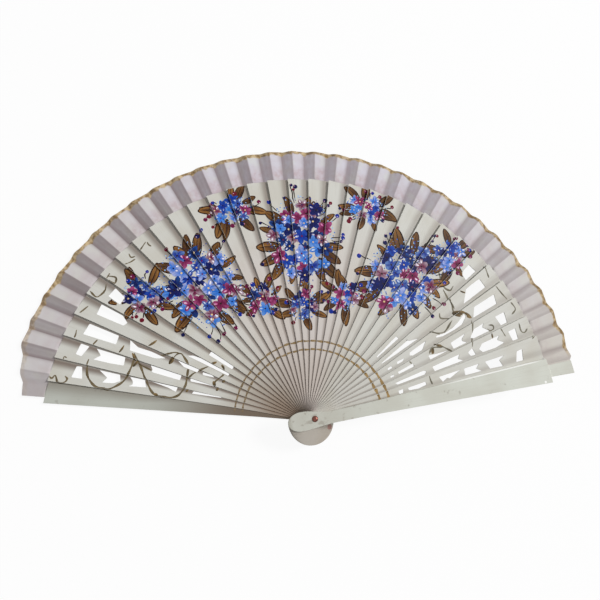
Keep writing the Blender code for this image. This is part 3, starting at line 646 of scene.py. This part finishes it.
# Gilt scrolls: curling tendrils between the windows at both ends, as (width, (tick, radius) ...).
SCROLLS = (
    (0.9, (1.20, 184), (1.13, 182), (1.27, 180.4), (1.13, 178.8), (0.99, 177.4), (1.03, 173.4), (1.2, 172),
     (1.31, 174)),
    (1.1, (2.29, 162), (2.04, 162), (1.71, 161), (1.4, 158.5), (1.07, 153), (1.01, 147), (1.02, 143),
     (1.59, 135), (2.5, 132.7), (3.26, 133.7)),
    (1.1, (3.3, 134.4), (2.69, 127), (2.0, 121), (1.31, 115), (1.04, 110.5), (1.01, 104), (1.07, 99.5),
     (1.31, 95.8), (1.77, 93.6), (2.29, 92.6), (2.74, 93.2), (3.43, 94.4), (4.0, 96.6), (4.34, 101),
     (4.49, 104.3), (4.3, 106.6), (4.0, 107.4)),
    (0.8, (2.79, 129.3), (2.62, 118)),
    (0.9, (3.5, 121), (3.71, 117.5), (3.94, 114), (4.34, 109), (4.48, 105)),
    (0.9, (2.74, 93), (3.43, 90), (4.0, 86.2), (4.5, 83), (5.1, 80.5)),
    (0.9, (2.86, 73.2), (3.3, 73.8), (4.0, 71.5), (4.57, 70.2), (5.2, 72.5), (5.4, 74.5)),
    (0.9, (5.79, 177), (5.56, 175), (5.31, 175), (5.07, 177), (5.16, 183)),
    (0.8, (6.12, 179.8), (6.29, 174.4), (6.11, 172.3)),
    (0.7, (4.11, 181), (4.55, 178.5)),
    (0.7, (3.39, 177.7), (3.2, 176.7), (3.04, 176.5)),
    (0.7, (3.3, 161.5), (2.98, 163)),
    (0.7, (2.0, 178.2), (2.13, 178), (2.1, 176.3)),
    (0.7, (7.99, 175.3), (8.45, 177.7)),
    (0.7, (8.5, 177), (8.46, 174.8), (8.5, 172.5)),
    (0.7, (7.52, 179.5), (7.46, 176.4), (7.62, 174.8)),
    (0.7, (7.02, 175.8), (7.27, 174), (7.54, 173.3)),
    (0.7, (5.99, 178.8), (6.29, 179.6)),
    (0.8, (6.0, 177.7), (6.03, 172.4), (6.24, 172.7), (6.28, 174.5)),
    (0.8, (26.92, 180.3), (27.52, 176.8)),
    (0.8, (28.03, 176.4), (28.4, 177), (28.91, 178.8)),
    (0.8, (29.08, 178.9), (29.48, 179.7), (29.64, 174.7)),
    (0.8, (30.14, 175.7), (30.54, 174.8), (30.68, 177), (30.56, 180.7)),
    (0.7, (30.97, 183.5), (31.08, 180)),
    (0.8, (29.55, 152.5), (29.68, 155.5), (29.86, 155), (29.88, 151.5), (29.7, 150)),
    (0.7, (30.0, 159.5), (30.49, 160.6)),
    (0.8, (28.85, 142.8), (29.5, 137.5), (30.27, 131.4)),
    (1.0, (24.97, 151), (25.56, 147.7), (26.16, 142.2), (26.65, 144), (26.6, 148.8)),
    (1.0, (26.32, 140.2), (27.05, 138), (27.68, 136.6)),
    (1.0, (27.89, 108.5), (28.53, 116.8), (28.17, 128.7)),
    (0.9, (29.05, 108.2), (30.01, 115.8)),
    (0.9, (29.32, 98.2), (29.05, 102.8), (29.38, 110.6)),
    (0.8, (29.02, 81.6), (29.7, 83.5)),
    (0.8, (31.02, 90.2), (31.4, 90.0), (31.82, 90.4)),
    (0.8, (26.95, 138.8), (27.4, 136.6), (27.9, 133.8)),
    (0.8, (27.27, 124.5), (27.6, 122.8), (28.0, 128.5)),
)
OLIVE = pigment(107, 93, 68)
SLATE = pigment(114, 109, 93)
for width, *corners in SCROLLS:
    ticks, radii = np.array(corners).T
    share = np.clip(ticks.mean() / RIB_COUNT, 0.0, 1.0)
    tone = OLIVE + (SLATE - OLIVE) * share
    draw_line(smooth_path(fan_spot(ticks, radii), 0.55), 1.3 * width, tone, 0.0, SCROLL_LIFT)

# Small leaves on the tendrils, as (from tick, from radius, to tick, to radius, half width).
SCROLL_LEAVES = np.array([
    (3.43, 108.8, 4.02, 107.2, 1.5), (1.02, 109.6, 1.18, 112.6, 1.1), (2.52, 131.8, 2.92, 129.4, 0.9),
    (2.88, 131.6, 3.32, 134.8, 0.9), (2.88, 72.6, 3.45, 74.2, 1.2), (2.52, 70.8, 2.86, 69.4, 1.0),
    (3.64, 68.8, 3.96, 67.0, 1.0), (4.9, 81.8, 5.28, 78.4, 0.9), (5.08, 71.6, 5.42, 74.6, 0.9),
    (1.68, 91.2, 1.92, 89.8, 0.7), (3.05, 144.2, 3.5, 142.2, 0.7), (4.03, 127.4, 4.52, 123.2, 0.9),
    (27.80, 133.0, 28.40, 140.5, 2.6), (28.20, 141.0, 28.75, 142.6, 1.6), (28.84, 105.6, 29.34, 109.4, 0.8),
    (29.08, 103.2, 29.5, 99.6, 1.2), (30.02, 151.0, 30.4, 149.2, 0.7), (27.05, 149.6, 27.4, 152.0, 0.7),
])
root, tip = fan_spot(*SCROLL_LEAVES[:, :2].T), fan_spot(*SCROLL_LEAVES[:, 2:4].T)
away = tip - root
heading, length = np.arctan2(away[:, 1], away[:, 0]), np.linalg.norm(away, axis=1)
ones = np.ones((len(length), 1))
dab(root, heading, length, SCROLL_LEAVES[:, 4], 0.15 * length, OLIVE * 0.4 * ones, GOLD * 0.9 * ones,
    np.full(len(length), SCROLL_LEAF_LIFT), 9, 5)

# Sprays: round clusters of five-petalled blossoms with lance-shaped leaves, buds and dotted edges.
NAVY = pigment(6, 11, 70)
ROYAL = pigment(10, 42, 142)
SKY = pigment(34, 106, 202)
PALE = pigment(150, 192, 236)
PLUM = pigment(104, 12, 62)
PINK = pigment(220, 108, 172)
WHITE = pigment(246, 238, 250)
CRIMSON = pigment(104, 10, 34)
OCHRE = pigment(124, 86, 42)
BROWN = pigment(66, 37, 20)
DARK = pigment(28, 14, 11)
BUTTER = pigment(230, 200, 146)
PETALS = np.array([ROYAL, NAVY, SKY, NAVY, ROYAL, PLUM, SKY, PLUM])
TIPS = np.array([SKY, ROYAL, PALE, SKY, PALE, PINK, WHITE, WHITE])
# Each spray: tick, radius, half size along and across, blossoms, leaves, blossom radius.
SPRAYS = (
    (9.2, 126.0, 29.0, 24.0, 36, 16, 5.6),
    (16.5, 133.0, 31.0, 22.0, 38, 16, 5.6),
    (23.8, 126.0, 29.0, 24.0, 36, 16, 5.6),
    (12.9, 167.0, 9.5, 14.0, 11, 9, 4.6),
    (20.2, 167.0, 9.5, 14.0, 11, 9, 4.6),
    (6.4, 150.0, 13.0, 11.0, 11, 8, 4.6),
    (25.3, 166.0, 11.0, 11.0, 10, 7, 4.6),
    (12.7, 93.0, 10.0, 9.0, 9, 8, 4.2),
    (20.3, 93.0, 10.0, 9.0, 9, 8, 4.2),
    (16.4, 82.0, 9.0, 10.0, 9, 8, 4.2),
)


def rim_spots(turn, reach, axes):
    """Steps from a spray's middle: a turn round its oval, times a share of the half sizes."""
    return (np.stack([np.cos(turn), np.sin(turn)], axis=-1) * reach) @ axes


def spray(tick, radius, along, across, count, leaves, size, lift):
    """One spray: leaves all round, dots at the rim, then blossoms set out as seeds in a sunflower.

    Seed j of n stands at the root of (j + 1/2) / n of the half sizes, turned by 2.4 j radians.
    """
    middle = fan_spot(tick, radius)
    outward = middle / np.linalg.norm(middle)
    frame_axes = np.array([outward * along, np.array([outward[1], -outward[0]]) * across])

    turn = np.linspace(0.0, 2.0 * np.pi, leaves, endpoint=False) + rng.uniform(-0.3, 0.3, leaves)
    rim = rim_spots(turn, 1.0, frame_axes)
    heading = np.arctan2(rim[:, 1], rim[:, 0]) + rng.uniform(-0.5, 0.5, leaves)
    root = middle + 0.72 * rim
    length = rng.uniform(12.0, 19.0, leaves) * size / 4.8
    width = length * rng.uniform(0.17, 0.23, leaves)
    bend = rng.uniform(-2.8, 2.8, leaves)
    ones = np.ones((leaves, 1))
    layer = lift + np.arange(leaves) * 2e-4
    dab(root, heading, length, width, bend, DARK * ones, BROWN * 0.8 * ones, layer, 11, 7)
    tone = OCHRE * rng.uniform(0.55, 1.75, (leaves, 1))
    inset = np.stack([np.cos(heading), np.sin(heading)], axis=-1) * 0.8
    root = root + inset
    dab(root, heading, length - 1.9, width * 0.74, bend * 0.85, BROWN * ones, tone, layer + 3e-3, 11, 7)
    dab(root, heading, length - 2.6, width * 0.10, bend * 0.8, DARK * ones, BROWN * ones, layer + 8e-3, 11, 3)

    dots = count * 12
    turn = rng.uniform(0.0, 2.0 * np.pi, dots)
    place = middle + rim_spots(turn, rng.uniform(0.6, 1.22, (dots, 1)), frame_axes)
    width = rng.uniform(0.2, 0.6, dots)
    tone = np.array([SKY, PALE, ROYAL, PALE])[rng.integers(0, 4, dots)]
    dab(place, turn, 2.0 * width, width, np.zeros(dots), tone, tone, np.full(dots, lift + 0.012), 5, 3)

    berries = leaves
    turn = rng.uniform(0.0, 2.0 * np.pi, berries)
    place = middle + rim_spots(turn, rng.uniform(1.3, 1.6, (berries, 1)), frame_axes)
    for start, stop in zip(middle + 0.72 * (place - middle), place):
        bowed = 0.5 * (start + stop) + rng.normal(0.0, 0.8, 2)
        draw_line(smooth_path(np.array([start, bowed, stop]), 0.7), 0.7, DARK, 0.0, lift + 0.002)
    width = rng.uniform(1.2, 1.9, berries)
    tone = np.array([CRIMSON, NAVY, PLUM, ROYAL])[rng.integers(0, 4, berries)]
    dab(place, turn, 2.0 * width, width, np.zeros(berries), tone, tone, np.full(berries, lift + 0.013))
    dab(place + 0.4, turn, 0.5 * width, 0.2 * width, np.zeros(berries), PINK * ones, WHITE * ones,
        np.full(berries, lift + 0.018), 5, 3)

    seed = np.arange(count)
    reach = np.sqrt((seed + 0.5) / count)
    turn = 2.4 * seed + rng.uniform(-0.25, 0.25, count)
    heart = middle + rim_spots(turn, reach[:, None], frame_axes)
    order = rng.permutation(count)
    layer = lift + 0.016 + order * 0.024 / count
    kind = rng.integers(0, len(PETALS), count)
    full = size * rng.uniform(0.8, 1.15, count)
    aim = (rng.uniform(0.0, 2.0 * np.pi, count)[:, None] + np.arange(5) * 2.0 * np.pi / 5.0).ravel()
    each = np.repeat(seed, 5)
    aim = aim + rng.uniform(-0.15, 0.15, 5 * count)
    heading = np.stack([np.cos(aim), np.sin(aim)], axis=-1)
    step_out = full[each, None] * heading
    length = full[each] * rng.uniform(0.7, 1.15, 5 * count)
    bend = rng.uniform(-1.0, 1.0, 5 * count)
    breadth = rng.uniform(0.27, 0.42, 5 * count) * full[each]
    petal, tip = PETALS[kind[each]], TIPS[kind[each]]
    dab(heart[each] + 0.1 * step_out, aim, length, breadth, bend, petal, tip * 0.40 + petal * 0.60,
        layer[each])
    some = rng.uniform(size=5 * count) < 0.4
    glint = np.broadcast_to(WHITE, (some.sum(), 3))
    dab((heart[each] + 0.42 * step_out)[some], aim[some], 0.45 * length[some], (0.11 * full[each])[some],
        bend[some] * 0.3, tip[some], glint, layer[each][some] + 7e-3, 5, 3)
    eye = np.array([DARK, BUTTER, NAVY, PLUM])[rng.integers(0, 4, count)]
    dab(heart - 0.12 * step_out[::5], aim[::5], 0.26 * full, 0.12 * full, np.zeros(count), eye, eye,
        layer + 8e-3, 5, 3)


for sizes in SPRAYS:
    spray(*sizes, SPRAY_LIFT)


def left_edge(along):
    """Half width of a rib, in mm, to the left of its line through the rivet."""
    share = np.clip((along - NECK_END) / (SHOULDER - NECK_END), 0.0, 1.0)
    return NECK_LEFT + (SHOULDER_LEFT - NECK_LEFT) * share


def wood_height(node, turned, x, y):
    """Height of a stick's upper face, in m, at flat places in mm in its own frame.

    Each place is looked up in the upward triangle that holds it, by its three shares of the
    triangle's area; a place off the wood gives not-a-number.
    """
    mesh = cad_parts[node].data
    mesh.calc_loop_triangles()
    vertices = np.empty(3 * len(mesh.vertices))
    mesh.vertices.foreach_get("co", vertices)
    index = np.empty(3 * len(mesh.loop_triangles), int)
    mesh.loop_triangles.foreach_get("vertices", index)
    corner = vertices.reshape(-1, 3)[index].reshape(-1, 3, 3)
    turn_back = np.array([[math.cos(turned), -math.sin(turned)], [math.sin(turned), math.cos(turned)]])
    flat = corner[..., :2] @ turn_back * 1000.0
    first, second, third = flat[:, 0], flat[:, 1], flat[:, 2]
    double = np.cross(second - first, third - first)
    up = double > 1e-6
    first, second, third, double, rise = first[up], second[up], third[up], double[up], corner[up, :, 2]
    spot = np.stack([x, y], axis=-1)[:, None]
    shares = np.stack([np.cross(second - spot, third - spot), np.cross(third - spot, first - spot),
                       np.cross(first - spot, second - spot)], axis=-1) / double[:, None]
    worst = shares.min(axis=-1)
    best = worst.argmax(axis=1)
    rows = np.arange(len(x))
    height = (shares[rows, best] * rise[best]).sum(axis=1)
    return np.where(worst[rows, best] > -1e-6, height, np.nan)


brush_paint, tree, shader, coords = make_material("brush_paint")
shader.inputs["Specular IOR Level"].default_value = 0.08
ink = add_node(tree, "ShaderNodeAttribute", attribute_name="ink").outputs
grain = speckle(tree, coords.outputs["Object"], 1400.0, 3.0)
chalky = tint(tree, ease(tree, grain, 0.45, 0.8, 0.0, 0.05), ink["Color"], srgb(236, 232, 226))
tree.links.new(chalky, shader.inputs["Base Color"])
tree.links.new(ink["Alpha"], shader.inputs["Metallic"])
tree.links.new(ease(tree, grain, 0.3, 0.7, 0.38, 0.55), shader.inputs["Roughness"])
relief = add_node(tree, "ShaderNodeBump", {"Height": grain, "Strength": 0.5, "Distance": 0.0001})
tree.links.new(relief.outputs[0], shader.inputs["Normal"])
for number in range(RIB_COUNT + 1):
    turned = FIRST_AXIS - number * PITCH
    along = np.linspace(0.0, 190.0, 96)
    next_x = along * math.cos(PITCH) + left_edge(along) * math.sin(PITCH)
    next_y = left_edge(along) * math.cos(PITCH) - along * math.sin(PITCH)
    places, inks, quads, used = [], [], [], 0
    for grid, ink, lift in strokes:
        x = np.minimum(grid[..., 0] * math.cos(turned) + grid[..., 1] * math.sin(turned), PAINT_END)
        y = grid[..., 1] * math.cos(turned) - grid[..., 0] * math.sin(turned)
        y = np.clip(y, np.interp(x, next_x, next_y) - TUCKED, left_edge(x) - OWN_EDGE_ROOM)
        index = np.arange(x.size).reshape(x.shape)
        faces = [index[:, :-1, :-1], index[:, 1:, :-1], index[:, 1:, 1:], index[:, :-1, 1:]]
        faces = np.stack(faces, axis=-1).reshape(-1, 4)
        flat = np.stack([x.ravel(), y.ravel()], axis=-1)
        area = np.cross(flat[faces[:, 2]] - flat[faces[:, 0]], flat[faces[:, 3]] - flat[faces[:, 1]])
        faces = faces[(np.abs(area) > SMALLEST_AREA) & (x.ravel()[faces].min(axis=1) > PAINT_START)]
        if len(faces):
            kept, faces = np.unique(faces, return_inverse=True)
            quads.append(faces.reshape(-1, 4) + used)
            places.append(np.column_stack([flat[kept], lift.ravel()[kept]]))
            inks.append(ink.reshape(-1, 4)[kept])
            used += len(kept)
    if not used:
        continue
    places, inks, quads = np.concatenate(places), np.concatenate(inks), np.concatenate(quads)
    height = wood_height(STICKS[number], turned, places[:, 0], places[:, 1])
    quads = quads[~np.isnan(height[quads]).any(axis=1)]
    kept, quads = np.unique(quads, return_inverse=True)
    quads = quads.reshape(-1, 4)
    x, y = places[kept, 0] * 0.001, places[kept, 1] * 0.001
    points = np.stack([x * math.cos(turned) - y * math.sin(turned),
                       x * math.sin(turned) + y * math.cos(turned),
                       height[kept] + places[kept, 2] * 0.001], axis=-1)
    # A stroke drawn the other way round faces down, so its corners are taken in turn.
    facing = np.cross(points[quads[:, 2], :2] - points[quads[:, 0], :2],
                      points[quads[:, 3], :2] - points[quads[:, 1], :2])
    quads = np.where(facing[:, None] < 0.0, quads[:, ::-1], quads)
    name = f"brushwork_{STICKS[number]}"
    mesh = bpy.data.meshes.new(name)
    mesh.from_pydata(points, [], quads)
    mesh.attributes.new("ink", "FLOAT_COLOR", "POINT").data.foreach_set("color", inks[kept].ravel())
    mesh.shade_smooth()
    mesh.materials.append(brush_paint)
    piece = bpy.data.objects.new(name, mesh)
    bpy.context.scene.collection.objects.link(piece)
    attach(piece, STICKS[number])

# Floor: a plain white sheet under the fan. The camera sees it nearly white, with the fan's
# soft shadow kept.
FLOOR_HALF, FLOOR_HEIGHT = 6.0, -0.0002
floor_mesh = bpy.data.meshes.new("floor")
corners = [(FLOOR_HALF * x, FLOOR_HALF * y, FLOOR_HEIGHT) for x, y in ((-1, -1), (1, -1), (1, 1), (-1, 1))]
floor_mesh.from_pydata(corners, [], [(0, 1, 2, 3)])
floor = bpy.data.objects.new("floor", floor_mesh)
bpy.context.scene.collection.objects.link(floor)
floor_white, tree, shader, coords = make_material("floor_white")
shader.inputs["Base Color"].default_value = (0.9, 0.9, 0.9, 1.0)
shader.inputs["Roughness"].default_value = 0.9
path = add_node(tree, "ShaderNodeLightPath").outputs
mirrored = maths(tree, "MAXIMUM", path["Is Glossy Ray"], path["Is Transmission Ray"])
seen = maths(tree, "MAXIMUM", path["Is Camera Ray"], mirrored)
glow = add_node(tree, "ShaderNodeEmission", {"Color": (1.0, 1.0, 1.0, 1.0), "Strength": 1.0})
mixed = {0: maths(tree, "MULTIPLY", seen, 0.92), 1: shader.outputs[0], 2: glow.outputs[0]}
shown = add_node(tree, "ShaderNodeMixShader", mixed)
tree.links.new(shown.outputs[0], tree.nodes["Material Output"].inputs["Surface"])
floor.data.materials.append(floor_white)

# Light: one big soft lamp from the upper right, and even light all round.
WORLD_LIGHT, WORLD_SEEN = 0.38, 0.62
LAMP_PLACE, LAMP_AIM = np.array([3.18, 1.12, 3.72]), np.array([0.0, 0.09, 0.0])
world = bpy.data.worlds.new("studio")
bpy.context.scene.world = world
world.use_nodes = True
tree = world.node_tree
background = tree.nodes["Background"]
path = add_node(tree, "ShaderNodeLightPath").outputs
seen = maths(tree, "MAXIMUM", path["Is Camera Ray"], path["Is Glossy Ray"])
strength = maths(tree, "ADD", WORLD_LIGHT, maths(tree, "MULTIPLY", seen, WORLD_SEEN))
tree.links.new(strength, background.inputs["Strength"])
background.inputs["Color"].default_value = (1.0, 1.0, 1.0, 1.0)
lamp = bpy.data.lights.new("key", "AREA")
lamp.size = 1.2
lamp.energy = 175.0
key = bpy.data.objects.new("key", lamp)
key.location = LAMP_PLACE.tolist()
away = LAMP_PLACE - LAMP_AIM
lean = math.acos(away[2] / np.linalg.norm(away))
key.rotation_euler = (lean, 0.0, math.atan2(away[1], away[0]) + 0.5 * math.pi)
bpy.context.scene.collection.objects.link(key)

# Camera: over the fan, a little left of the rivet, at the photograph's angle.
TILT = np.array([0.152517, -0.210251, 0.0198316])
SHIFT = np.array([6.5538, -86.5313, -331.8192])
ZERO = 2.6
cosines, sines = np.cos(TILT), np.sin(TILT)
about_y = np.array([[cosines[0], 0, sines[0]], [0, 1, 0], [-sines[0], 0, cosines[0]]])
about_x = np.array([[1, 0, 0], [0, cosines[1], -sines[1]], [0, sines[1], cosines[1]]])
about_z = np.array([[cosines[2], -sines[2], 0], [sines[2], cosines[2], 0], [0, 0, 1]])
to_camera = about_z @ about_x @ about_y
stand = (-to_camera.T @ SHIFT + np.array([0.0, 0.0, ZERO])) * 0.001
lens = bpy.data.cameras.new("camera")
lens.sensor_width = 36.0
lens.lens = 27.0
lens.clip_start = 0.01
camera = bpy.data.objects.new("camera", lens)
pose = np.eye(4)
pose[:3, :3] = to_camera.T
pose[:3, 3] = stand
camera.matrix_world = Matrix(pose.tolist())
bpy.context.scene.collection.objects.link(camera)
bpy.context.scene.camera = camera
bpy.context.scene.view_settings.view_transform = "Standard"
